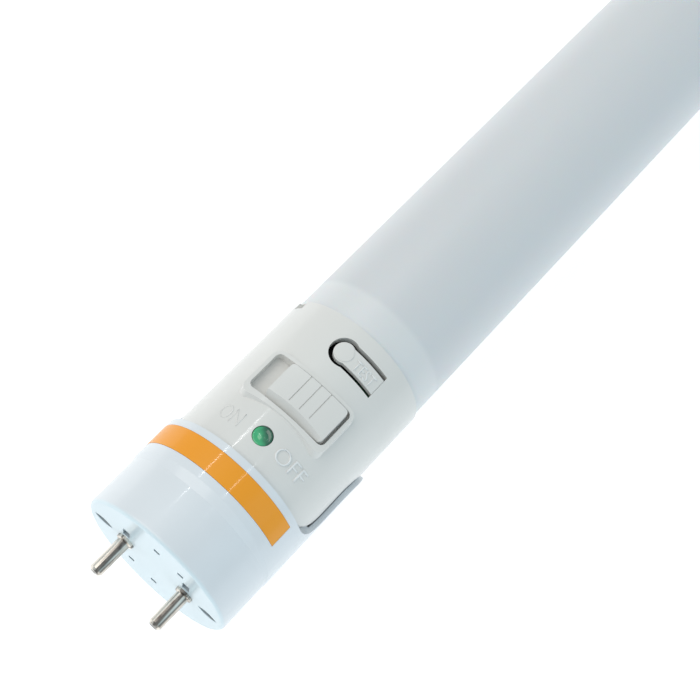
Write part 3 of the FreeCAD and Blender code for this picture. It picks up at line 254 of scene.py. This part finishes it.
class Graph:
    """A material's nodes round one Principled shader."""

    def __init__(self, name, **uniform):
        self.material = bpy.data.materials.new(name)
        self.material.use_nodes = True
        self.tree = self.material.node_tree
        self.shader = self.tree.nodes["Principled BSDF"]
        for socket, value in uniform.items():
            self.shader.inputs[socket.replace("_", " ")].default_value = value

    def add(self, kind, settings=None, values=None, out=0):
        """Any node: its settings first, then the values or wires of its sockets."""
        node = self.tree.nodes.new(kind)
        for key, value in (settings or {}).items():
            setattr(node, key, value)
        for key, value in (values or {}).items():
            self.feed(node.inputs[key], value)
        return Wire(self, node.outputs[out])

    def feed(self, socket, value):
        """Link a wire to a socket, or set the socket's value."""
        if isinstance(value, Wire):
            self.tree.links.new(value.socket, socket)
        else:
            socket.default_value = value

    def spot(self):
        """The point's place on the lamp."""
        return self.add("ShaderNodeTexCoord", out="Object")

    def axes(self):
        """The point's distances along, across and up."""
        place = self.spot()
        return [self.add("ShaderNodeSeparateXYZ", None, {0: place}, out=i) for i in range(3)]

    def noise(self, scale, detail=2.0, stretch=None, rough=0.5):
        """Clouds, scale to the metre; a small stretch on an axis draws them out along it."""
        place = self.spot()
        if stretch:
            place = self.add("ShaderNodeMapping", None, {"Vector": place, "Scale": stretch})
        return self.add("ShaderNodeTexNoise", None,
                        {"Vector": place, "Scale": scale, "Detail": detail, "Roughness": rough})

    def mix(self, factor, low, high):
        """A colour between two; numbers in threes or wires."""
        low, high = [c if isinstance(c, Wire) else tuple(c)[:3] + (1.0,) for c in (low, high)]
        return self.add("ShaderNodeMix", {"data_type": "RGBA"}, {0: factor, 6: low, 7: high}, out=2)

    def finish(self, base, rough, height=None, strength=0.2, depth=0.02 * MM):
        """Colour, roughness and the fine relief of the skin; gives the material."""
        self.feed(self.shader.inputs["Base Color"], base)
        self.feed(self.shader.inputs["Roughness"], rough)
        if height is not None:
            bump = self.add("ShaderNodeBump", None,
                            {"Strength": strength, "Distance": depth, "Height": height})
            self.feed(self.shader.inputs["Normal"], bump)
        return self.material


def shade(rgb, gain):
    """A colour made lighter or darker."""
    return tuple(min(1.0, c * gain) for c in tuple(rgb)[:3])


# ---------------------------------------------------------------- finishes
def moulded(name, rgb, rough=0.34, coat=0.45, tint=None):
    """Injection-moulded plastic: faint flow clouds, a fine skin and a polished coat."""
    g = Graph(name, IOR=1.5, Coat_Weight=coat, Coat_Roughness=0.09)
    clouds = g.noise(scale=45.0, detail=3.0)
    flow = g.noise(scale=120.0, stretch=(0.25, 1.0, 1.0))
    skin = g.noise(scale=5200.0)
    base = g.mix(clouds.ramp(0.35, 0.7), shade(rgb, 0.975), shade(rgb, 1.02))
    if tint is not None:
        base = tint(g, base)
    return g.finish(base, rough + (flow - 0.5) * 0.10, skin + clouds * 2.0, strength=0.10, depth=0.01 * MM)


def frosted(name, rgb, end_rgb):
    """Frosted tube: extrusion lines along it, and a paler end over the spigot."""
    g = Graph(name, IOR=1.58, Subsurface_Weight=0.12, Subsurface_Scale=0.002, Coat_Weight=0.15,
              Coat_Roughness=0.3)
    along = g.axes()[0]
    low, high = SPIGOT_SHADE
    near = 1 - along.ramp(TUBE_START + low, TUBE_START + high)
    far = along.ramp(TUBE_END - high, TUBE_END - low)
    clouds = g.noise(scale=30.0, detail=3.0, stretch=(0.3, 1.0, 1.0))
    lines = g.noise(scale=900.0, stretch=(0.02, 1.0, 1.0))
    frost = g.noise(scale=7000.0, detail=3.0)
    body = g.mix(clouds.ramp(0.35, 0.7), shade(rgb, 0.985), shade(rgb, 1.015))
    base = g.mix((near + far) * 0.85, body, end_rgb)
    return g.finish(base, 0.42 + (lines - 0.5) * 0.12, frost + lines, strength=0.16, depth=0.012 * MM)


def turned_metal(name, bright, dark, rough=0.22):
    """Turned and plated: fine rings round X, long drawn streaks, dark streaks painted as reflections of dark
    surroundings, and some tarnish.
    """
    g = Graph(name, Metallic=1.0)
    rings = g.noise(scale=6000.0, stretch=(1.0, 0.02, 0.02))
    streaks = g.noise(scale=1050.0, stretch=(0.05, 1.0, 1.0))
    tarnish = g.noise(scale=700.0, detail=4.0, stretch=(0.5, 1.0, 1.0))
    # Painted reflection: four fifths of the dark mask are streaks painted as mirrored dark surroundings, and
    # one fifth is tarnish.
    mask = streaks.ramp(0.42, 0.57) * 0.80 + tarnish.ramp(0.50, 0.70) * 0.20
    return g.finish(g.mix(mask, bright, dark), rough + tarnish * 0.18, rings + streaks,
                    strength=0.25, depth=0.008 * MM)


def brushed(name, rgb, rough=0.32):
    """Drawn metal with long scratches along X."""
    g = Graph(name, Metallic=1.0)
    scratch = g.noise(scale=2600.0, detail=3.0, stretch=(0.03, 1.0, 1.0))
    stain = g.noise(scale=60.0, detail=3.0)
    base = g.mix(scratch.ramp(0.3, 0.7), shade(rgb, 0.86), shade(rgb, 1.06))
    return g.finish(base, rough + (stain - 0.5) * 0.2, scratch, strength=0.3, depth=0.01 * MM)


def circuit(name, mask_rgb, track_rgb):
    """Circuit board: tracks under the mask, weave of the laminate."""
    g = Graph(name, IOR=1.5, Coat_Weight=0.3, Coat_Roughness=0.15)
    tracks = g.add("ShaderNodeTexBrick", {"offset": 0.37, "squash": 1.4},
                   {"Vector": g.spot(), "Scale": 420.0, "Mortar Size": 0.018, "Mortar Smooth": 0.2},
                   out="Fac")
    weave = g.noise(scale=2400.0)
    base = g.mix(tracks, mask_rgb, track_rgb)
    return g.finish(base, 0.38 + weave * 0.12, tracks + weave * 0.3, strength=0.3, depth=0.03 * MM)


def speckled(name, grain_rgb, scale, rough, strength=0.3):
    """Pressed, foamed or cast material with a visible grain."""
    g = Graph(name, IOR=1.5)
    grain = g.noise(scale, detail=4.0, rough=0.6)
    return g.finish(g.mix(grain.ramp(0.35, 0.68), *grain_rgb), rough + (grain - 0.5) * 0.2,
                    grain, strength, depth=0.04 * MM)


def film(name, rgb):
    """Shrink film: gloss with tight creases along the cells."""
    g = Graph(name, IOR=1.52, Coat_Weight=0.6, Coat_Roughness=0.08)
    crease = g.noise(scale=260.0, detail=3.0, stretch=(0.2, 1.0, 1.0))
    seam = g.noise(scale=40.0)
    return g.finish(g.mix(seam.ramp(0.4, 0.7), shade(rgb, 0.85), shade(rgb, 1.2)), 0.2 + crease * 0.12,
                    crease, strength=0.35, depth=0.15 * MM)


def packages(name, case_rgb):
    """Light packages: a phosphor window in a white case."""
    g = Graph(name, IOR=1.5)
    across = g.axes()[1]
    window = 1 - across.math("ABSOLUTE").ramp(*PHOSPHOR_EDGE)
    grain = g.noise(scale=4200.0, detail=3.0)
    phosphor = g.mix(grain, *PHOSPHOR_GRAIN)
    return g.finish(g.mix(window, case_rgb, phosphor), 0.35 + grain * 0.2, grain)


def tinted_resin(name, bright, dark):
    """Tinted resin, darker on the side that the housing shades."""
    g = Graph(name, IOR=1.55, Coat_Weight=0.9, Coat_Roughness=0.04, Subsurface_Weight=0.1,
              Subsurface_Scale=0.001)
    low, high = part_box("status_led")
    centre = (low + high) / 2
    along, across, _ = g.axes()
    slant = (along - centre.x) * 0.75 - (across - centre.y) * 0.66
    swirl = g.noise(scale=900.0)
    mask = (slant + (swirl - 0.5) * (1.2 * MM)).ramp(*LENS_SHADE)
    return g.finish(g.mix(mask, bright, dark), 0.12 + swirl * 0.06, swirl, strength=0.1)


def painted_face_light_and_slot_shade(rgb, shadow):
    """Painted cool light on the caps' end faces, and painted shade inside the slots that are cut into them.
    """
    def tint(g, base):
        along, across, up = g.axes()
        low, high = FACE_LIGHT
        near = 1 - along.ramp(low, high)
        far = along.ramp(LAMP_LENGTH - high, LAMP_LENGTH - low)
        radius = (across * across + up * up).math("SQRT")
        inside = 1 - radius.ramp(*SLOT_LIMIT)
        sunk = along.ramp(*SLOT_SHADE) * (LAMP_LENGTH - along).ramp(*SLOT_SHADE)
        # Painted light on the end faces first, then painted shade in the slots.
        face_lit = g.mix((near + far) * 0.9, base, rgb)
        return g.mix(inside * sunk, face_lit, shadow)
    return tint


# ---------------------------------------------------------------- modelling
def let_go():
    """Object mode with nothing selected."""
    if bpy.context.object and bpy.context.object.mode != "OBJECT":
        bpy.ops.object.mode_set(mode="OBJECT")
    bpy.ops.object.select_all(action="DESELECT")


def take(thing):
    """Select one object alone."""
    let_go()
    thing.select_set(True)
    bpy.context.view_layer.objects.active = thing


def choose_faces(thing, test):
    """Edit mode with only the faces that pass the test selected."""
    take(thing)
    bpy.ops.object.mode_set(mode="EDIT")
    bpy.ops.mesh.select_mode(type="FACE")
    bpy.ops.mesh.select_all(action="DESELECT")
    bpy.ops.object.mode_set(mode="OBJECT")
    for face in thing.data.polygons:
        face.select = bool(test(face))
    if not any(face.select for face in thing.data.polygons):
        raise RuntimeError("no face of %s passes the test" % thing.name)
    bpy.ops.object.mode_set(mode="EDIT")


def modify(thing, kind, **settings):
    """Add a modifier, set it and apply it."""
    take(thing)
    bpy.ops.object.modifier_add(type=kind)
    modifier = thing.modifiers[-1]
    for key, value in settings.items():
        setattr(modifier, key, value)
    bpy.ops.object.modifier_apply(modifier=modifier.name)


def settle(thing, name, body, material, slot, *nodes):
    """Put the object's place in its mesh, name it and hand it to its body."""
    take(thing)
    bpy.ops.object.transform_apply(location=True, rotation=True, scale=True)
    thing.name = name
    thing.data.name = name
    thing.data.materials.clear()
    thing.data.materials.append(material)
    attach(thing, body)
    if nodes:
        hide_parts(*nodes)


def dress(material, *names):
    """Give carried-over CAD nodes a finish."""
    for name in names:
        node = NODES[name]
        if not node.material_slots:
            node.data.materials.append(material)
        for slot in node.material_slots:
            slot.material = material


def flat_word(text, tall, wide):
    """A flat text mesh of the given size, its middle at the origin."""
    let_go()
    bpy.ops.object.text_add(location=(0, 0, 0))
    sign = bpy.context.object
    sign.data.body = text
    sign.data.resolution_u = LETTER_CURVES
    sign.data.offset = LETTER_THINNING
    bpy.ops.object.convert(target="MESH")
    points = [v.co for v in sign.data.vertices]
    if not points:
        raise RuntimeError("the word %s has no outline" % text)
    low = Vector((min(p.x for p in points), min(p.y for p in points), 0))
    high = Vector((max(p.x for p in points), max(p.y for p in points), 0))
    take(sign)
    sign.location = -(low + high) / 2
    bpy.ops.object.transform_apply(location=True, rotation=False, scale=False)
    sign.scale = (wide / (high.x - low.x), tall / (high.y - low.y), 1)
    bpy.ops.object.transform_apply(location=False, rotation=False, scale=True)
    return sign


def raised_word(text, middle_x, tall, wide, turn, rise, body, material):
    """A raised word that reads towards -Y with its top towards +X, wrapped round the housing."""
    let_go()
    bpy.ops.mesh.primitive_cylinder_add(vertices=FORMER_SIDES, radius=HOUSING_RADIUS, depth=4 * wide,
                                        location=(middle_x, 0, 0), rotation=(0, math.pi / 2, 0))
    former = bpy.context.object
    sign = flat_word(text, tall, wide)
    sign.rotation_euler = (0, 0, -math.pi / 2)
    sign.location = (middle_x, 0, HOUSING_RADIUS + MM)
    bpy.ops.object.transform_apply(location=True, rotation=True, scale=False)
    choose_faces(sign, lambda face: True)
    bpy.ops.mesh.quads_convert_to_tris()
    bpy.ops.mesh.subdivide(number_cuts=1)
    bpy.ops.object.mode_set(mode="OBJECT")
    modify(sign, "SHRINKWRAP", target=former, wrap_method="PROJECT", use_project_z=True,
           use_negative_direction=True, use_positive_direction=False, offset=-LETTER_SINK)
    modify(sign, "SOLIDIFY", thickness=rise + LETTER_SINK, offset=1.0)
    take(sign)
    sign.rotation_euler = (turn, 0, 0)
    bpy.ops.object.transform_apply(location=False, rotation=True, scale=False)
    choose_faces(sign, lambda face: True)
    bpy.ops.mesh.remove_doubles(threshold=MERGE_DISTANCE)
    bpy.ops.mesh.normals_make_consistent(inside=False)
    take(former)
    bpy.ops.object.delete()
    settle(sign, "word_" + text.lower(), body, material, "housing_white")


# ---------------------------------------------------------------- operators
class LEDTUBE_OT_stage(bpy.types.Operator):
    """Pale light table, soft studio light and the camera"""
    bl_idname = "led_tube.stage"
    bl_label = "Stage"
    bl_options = {"REGISTER", "UNDO"}

    def execute(self, context):
        stage = context.scene.led_tube_stage
        target = Vector(stage.target)
        self.floor(stage)
        self.sky(context.scene, stage)
        low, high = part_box("indicator_band")
        band = Vector(((low.x + high.x) / 2, 0, high.z))
        self.lamp("key_light", target, KEY_WAY, SOFT_DISTANCE, KEY_SIDES, stage.key, stage.key_colour)
        self.lamp("fill_light", target, FILL_WAY, SOFT_DISTANCE, FILL_SIDES, stage.fill, stage.fill_colour)
        self.lamp("strip_high", band, HIGH_STRIP_WAY, STRIP_DISTANCE, HIGH_STRIP_SIDES, stage.streak, WHITE)
        self.lamp("strip_low", band, LOW_STRIP_WAY, STRIP_DISTANCE, LOW_STRIP_SIDES,
                  stage.streak * LOW_STRIP_SHARE, WHITE)
        self.camera(context.scene, stage, target)
        context.scene.view_settings.view_transform = "Standard"
        return {"FINISHED"}

    def floor(self, stage):
        low, high = CAD_BOX
        lowest = FLOOR_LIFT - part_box("near_end_cap")[1].z
        let_go()
        bpy.ops.mesh.primitive_plane_add(size=stage.floor_side,
                                         location=((low.x + high.x) / 2, 0, lowest - stage.floor_gap))
        floor = bpy.context.object
        floor.name = "floor"
        g = Graph("light_table", IOR=1.4, Emission_Strength=stage.floor_glow)
        g.shader.inputs["Emission Color"].default_value = WHITE + (1,)
        g.shader.inputs["Specular IOR Level"].default_value = FLOOR_SHEEN
        haze = g.noise(scale=1.5)
        tone = g.mix(haze, shade(stage.floor_colour, 0.99), shade(stage.floor_colour, 1.01))
        floor.data.materials.append(g.finish(tone, 0.8))

    def sky(self, scene, stage):
        scene.world = scene.world or bpy.data.worlds.new("Sky")
        scene.world.use_nodes = True
        sky = scene.world.node_tree.nodes["Background"]
        sky.inputs["Color"].default_value = tuple(stage.sky_colour) + (1,)
        sky.inputs["Strength"].default_value = stage.sky

    def lamp(self, name, subject, way, distance, sides, watts, tint):
        """A rectangular light that faces its subject, with its long side along X."""
        data = bpy.data.lights.new(name, "AREA")
        data.shape = "RECTANGLE"
        data.size, data.size_y = sides
        data.energy = watts
        data.color = tint
        light = bpy.data.objects.new(name, data)
        bpy.context.scene.collection.objects.link(light)
        way = way.normalized()
        light.location = subject + way * distance
        across = way.cross(Vector((1, 0, 0))).normalized()
        along = across.cross(way).normalized()
        light.rotation_mode = "QUATERNION"
        light.rotation_quaternion = Matrix(list(zip(along, across, way))).to_quaternion()

    def camera(self, scene, stage, target):
        back = Vector((math.sin(stage.azimuth) * math.cos(stage.elevation),
                       -math.cos(stage.azimuth) * math.cos(stage.elevation), math.sin(stage.elevation)))
        camera = bpy.data.objects.new("camera", bpy.data.cameras.new("camera"))
        scene.collection.objects.link(camera)
        camera.data.lens = stage.lens
        camera.data.sensor_width = SENSOR_WIDTH
        camera.data.clip_start = CLIP_START
        camera.location = target + back * stage.distance
        camera.rotation_mode = "QUATERNION"
        camera.rotation_quaternion = (-back).to_track_quat("-Z", "Y") @ Quaternion((0, 0, 1), stage.roll)
        scene.camera = camera


class LEDTUBE_OT_caps(bpy.types.Operator):
    """Finishes of the turning caps and what sits in them"""
    bl_idname = "led_tube.caps"
    bl_label = "End caps"
    bl_options = {"REGISTER", "UNDO"}

    def execute(self, context):
        colours = context.scene.led_tube_colours
        # The caps' end faces get painted cool light, and their slots get painted shade.
        dress(moulded("cap_white", colours.cap, tint=painted_face_light_and_slot_shade(colours.face_light_tint, colours.slot)),
              "near_end_cap", "far_end_cap")
        dress(moulded("band_orange", colours.band, rough=0.45, coat=0.35), "indicator_band")
        dress(turned_metal("nickel", colours.pin, colours.pin_reflection_and_tarnish),
              "near_pin_left", "near_pin_right", "far_pin_left", "far_pin_right")
        dress(moulded("nylon", colours.nylon, rough=0.5, coat=0.0),
              "near_pin_clamp", "far_pin_clamp", "driver_standoffs", "status_led_spacer")
        return {"FINISHED"}


class LEDTUBE_OT_housing(bpy.types.Operator):
    """Finishes of the control housing, the far collar, the knob and the test arm"""
    bl_idname = "led_tube.housing"
    bl_label = "Housing and switch"
    bl_options = {"REGISTER", "UNDO"}

    def execute(self, context):
        colours = context.scene.led_tube_colours
        dress(moulded("housing_white", colours.housing), "control_housing", "far_collar")
        dress(moulded("knob_white", colours.housing, rough=0.4, coat=0.35), "switch_knob", "test_lever")
        dress(speckled("switch_black", SWITCH_GRAIN, scale=3000.0, rough=0.45),
              "switch_actuator", "slide_switch_body", "tact_switch_body", "tact_plunger")
        return {"FINISHED"}


class LEDTUBE_OT_words(bpy.types.Operator):
    """Raised words OFF, ON and TEST"""
    bl_idname = "led_tube.words"
    bl_label = "Words"
    bl_options = {"REGISTER", "UNDO"}

    def execute(self, context):
        words = context.scene.led_tube_words
        colours = context.scene.led_tube_colours
        # OFF and TEST: the housing's white painted lighter, a painted highlight on the raised strokes; ON
        # keeps the housing's own colour.
        highlit = moulded("highlit_raised_letters", colours.letters, rough=0.45, coat=0.2)
        raised_word("OFF", words.off_x, words.off_tall, words.off_wide, words.off_turn, words.rise,
                    "lamp_body", highlit)
        worn = moulded("worn_letters", colours.housing, rough=0.45, coat=0.2)
        raised_word("ON", words.off_x, words.off_tall, words.off_wide * ON_TO_OFF, -words.off_turn,
                    words.worn_rise, "lamp_body", worn)
        raised_word("TEST", words.test_x, words.test_tall, words.test_wide, words.test_turn,
                    words.rise * TEST_RISE, "test_arm", highlit)
        return {"FINISHED"}


class LEDTUBE_OT_lens(bpy.types.Operator):
    """Status light with a dished green lens"""
    bl_idname = "led_tube.lens"
    bl_label = "Status light"
    bl_options = {"REGISTER", "UNDO"}

    def execute(self, context):
        sizes = context.scene.led_tube_pieces
        colours = context.scene.led_tube_colours
        low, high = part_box("status_led")
        centre = (low + high) / 2
        outer = (high.y - low.y) / 2
        seat = high.z - sizes.lens_body
        let_go()
        bpy.ops.mesh.primitive_cylinder_add(vertices=64, radius=outer, depth=sizes.lens_step,
                                            location=(centre.x, centre.y, seat + sizes.lens_step / 2))
        light = bpy.context.object
        take(light)
        bpy.ops.object.transform_apply(location=True, rotation=True, scale=True)
        choose_faces(light, lambda face: face.normal.z > 0.9 and abs(face.center.x - centre.x) < 0.1 * MM)
        bpy.ops.mesh.inset(thickness=sizes.lens_flange, depth=0)
        neck = high.z - seat - sizes.lens_step
        bpy.ops.mesh.extrude_region_move(TRANSFORM_OT_translate={"value": (0, 0, neck)})
        bpy.ops.mesh.inset(thickness=sizes.lens_rim, depth=0)
        bpy.ops.mesh.extrude_region_move(TRANSFORM_OT_translate={"value": (0, 0, -sizes.lens_dish)})
        bpy.ops.transform.resize(value=(0.82, 0.82, 1), center_override=(centre.x, centre.y, high.z))
        bpy.ops.mesh.inset(thickness=sizes.lens_floor, depth=0)
        bpy.ops.mesh.inset(thickness=sizes.lens_bump, depth=sizes.lens_bump_rise)
        bpy.ops.mesh.poke()
        bpy.ops.object.mode_set(mode="OBJECT")
        modify(light, "BEVEL", width=sizes.lens_edge, segments=3, limit_method="ANGLE",
               angle_limit=math.radians(35))
        bpy.ops.object.shade_smooth_by_angle(angle=math.radians(40))
        settle(light, "status_lens", "lamp_body",
               tinted_resin("lens_green", colours.status, colours.status_dark), "status_green", "status_led")
        return {"FINISHED"}


class LEDTUBE_OT_diffuser(bpy.types.Operator):
    """Frosted tube with rounded ends"""
    bl_idname = "led_tube.diffuser"
    bl_label = "Diffuser"
    bl_options = {"REGISTER", "UNDO"}

    def execute(self, context):
        sizes = context.scene.led_tube_pieces
        colours = context.scene.led_tube_colours
        let_go()
        bpy.ops.mesh.primitive_cylinder_add(vertices=256, radius=TUBE_RADIUS, depth=TUBE_END - TUBE_START,
                                            end_fill_type="NOTHING", rotation=(0, math.pi / 2, 0),
                                            location=((TUBE_START + TUBE_END) / 2, 0, 0))
        tube = bpy.context.object
        modify(tube, "SOLIDIFY", thickness=sizes.tube_wall, offset=-1.0, use_even_offset=True)
        modify(tube, "BEVEL", width=sizes.tube_edge, segments=3, limit_method="ANGLE",
               angle_limit=math.radians(60))
        take(tube)
        bpy.ops.object.shade_smooth_by_angle(angle=math.radians(50))
        settle(tube, "frosted_tube", "lamp_body", frosted("frosted", colours.diffuser, colours.diffuser_end),
               "frosted_diffuser", "diffuser_tube")
        return {"FINISHED"}


class LEDTUBE_OT_inside(bpy.types.Operator):
    """Finishes of the rail, boards, battery pack and leads inside the tube"""
    bl_idname = "led_tube.inside"
    bl_label = "Inside"
    bl_options = {"REGISTER", "UNDO"}

    def execute(self, context):
        colours = context.scene.led_tube_colours
        dress(brushed("rail_aluminium", colours.rail), "heatsink_rail")
        dress(brushed("plated_steel", colours.screws, rough=0.3), "near_clamp_screws", "far_clamp_screws",
              "near_rail_screw", "far_rail_screw", "control_board_screws", "driver_screws")
        dress(brushed("spring_steel", colours.rings, rough=0.25), "near_retaining_ring", "far_retaining_ring")
        dress(circuit("board_green", colours.board, colours.tracks), "control_board", "driver_board")
        dress(circuit("board_white", colours.light_board, colours.light_tracks), "led_board")
        dress(packages("light_packages", colours.light_case), "led_packages")
        dress(brushed("cell_can", colours.cell, rough=0.28),
              "battery_cell_1", "battery_cell_2", "battery_cell_3")
        dress(film("shrink_film", colours.wrap), "battery_wrap")
        dress(speckled("foam_tape", TAPE_GRAIN, scale=2200.0, rough=0.8), "battery_tape")
        dress(speckled("ferrite", FERRITE_GRAIN, scale=1800.0, rough=0.6),
              "driver_transformer", "driver_choke")
        dress(film("capacitor_sleeve", colours.sleeve), "driver_capacitors")
        dress(speckled("lead_red", LEAD_GRAIN, scale=900.0, rough=0.42, strength=0.1),
              "battery_leads", "pin_leads", "control_harness", "far_pin_leads")
        return {"FINISHED"}


STEPS = (LEDTUBE_OT_stage, LEDTUBE_OT_caps, LEDTUBE_OT_housing, LEDTUBE_OT_words, LEDTUBE_OT_lens,
         LEDTUBE_OT_diffuser, LEDTUBE_OT_inside)
GROUPS = {"led_tube_stage": TubeStage, "led_tube_words": TubeLettering, "led_tube_pieces": TubePieces,
          "led_tube_colours": TubeColours}


class LEDTUBE_PT_panel(bpy.types.Panel):
    """Sizes, colours and steps of the LED tube"""
    bl_label = "LED tube"
    bl_space_type = "VIEW_3D"
    bl_region_type = "UI"
    bl_category = "LED tube"

    def draw(self, context):
        for name, group in GROUPS.items():
            box = self.layout.box()
            for key in group.__annotations__:
                box.prop(getattr(context.scene, name), key)
        for step in STEPS:
            self.layout.operator(step.bl_idname, text=step.bl_label)


def register():
    for group in GROUPS.values():
        bpy.utils.register_class(group)
    for step in STEPS:
        bpy.utils.register_class(step)
    bpy.utils.register_class(LEDTUBE_PT_panel)
    for name, group in GROUPS.items():
        setattr(bpy.types.Scene, name, bpy.props.PointerProperty(type=group))


def unregister():
    for name in GROUPS:
        delattr(bpy.types.Scene, name)
    bpy.utils.unregister_class(LEDTUBE_PT_panel)
    for step in reversed(STEPS):
        bpy.utils.unregister_class(step)
    for group in reversed(list(GROUPS.values())):
        bpy.utils.unregister_class(group)


def main():
    register()
    bpy.ops.led_tube.stage()
    bpy.ops.led_tube.caps()
    bpy.ops.led_tube.housing()
    bpy.ops.led_tube.words()
    bpy.ops.led_tube.lens()
    bpy.ops.led_tube.diffuser()
    bpy.ops.led_tube.inside()


if __name__ == "__main__":
    main()
